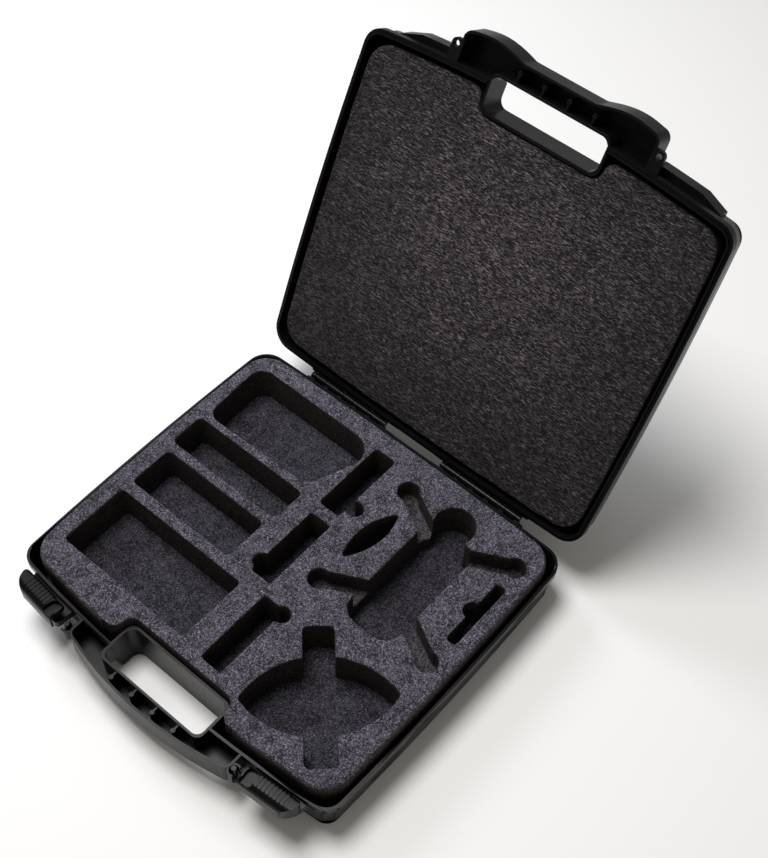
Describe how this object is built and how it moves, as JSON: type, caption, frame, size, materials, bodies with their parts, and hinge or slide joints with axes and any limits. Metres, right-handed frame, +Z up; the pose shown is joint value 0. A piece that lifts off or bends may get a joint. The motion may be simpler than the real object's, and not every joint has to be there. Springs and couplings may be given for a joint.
{
  "type": "drone carrying case",
  "caption": "Hard moulded carrying case, opened flat: cut foam insert with pockets in the base, plain foam in the hinged lid, two-half grip and two sliding latches.",
  "frame": {"origin": "middle of the flat underside of the base half, between the sides and between the corners of the handle and hinge sides", "axes": "+Z up from the surface it rests on, -Y towards the handle, +Y towards the hinges, +X towards the right hand latch"},
  "size_m": [0.3652, 0.526, 0.3654],
  "materials": {
    "moulding": "satin",
    "latch": "satin",
    "base_foam": "matte",
    "lid_foam": "matte",
    "steel": "satin"
  },
  "bodies": {
    "base": {"base_shell": "moulding", "base_handle": "moulding", "base_latch_rail_left": "moulding", "base_latch_rail_right": "moulding", "base_hinge_left": "moulding", "base_hinge_right": "moulding", "base_foam_floor": "base_foam", "base_foam_insert": "base_foam", "hinge_pin_left": "steel", "hinge_pin_right": "steel"},
    "lid": {"lid_shell": "moulding", "lid_handle": "moulding", "lid_hinge_left": "moulding", "lid_hinge_right": "moulding", "lid_foam": "lid_foam"},
    "latch_left": {"latch_slide_left": "latch"},
    "latch_right": {"latch_slide_right": "latch"}
  },
  "joints": [
    {"name": "lid_hinge", "type": "hinge", "parent": "base", "child": "lid", "pos_m": [0, 0.1622, 0.046], "axis": [1, 0, 0], "range_deg": [0, 115.8]},
    {"name": "left_latch_slide", "type": "slide", "parent": "base", "child": "latch_left", "axis": [0.9962, -0.0872, 0], "range_m": [0, 0.012]},
    {"name": "right_latch_slide", "type": "slide", "parent": "base", "child": "latch_right", "axis": [-0.9962, -0.0872, 0], "range_m": [0, 0.012]}
  ]
}
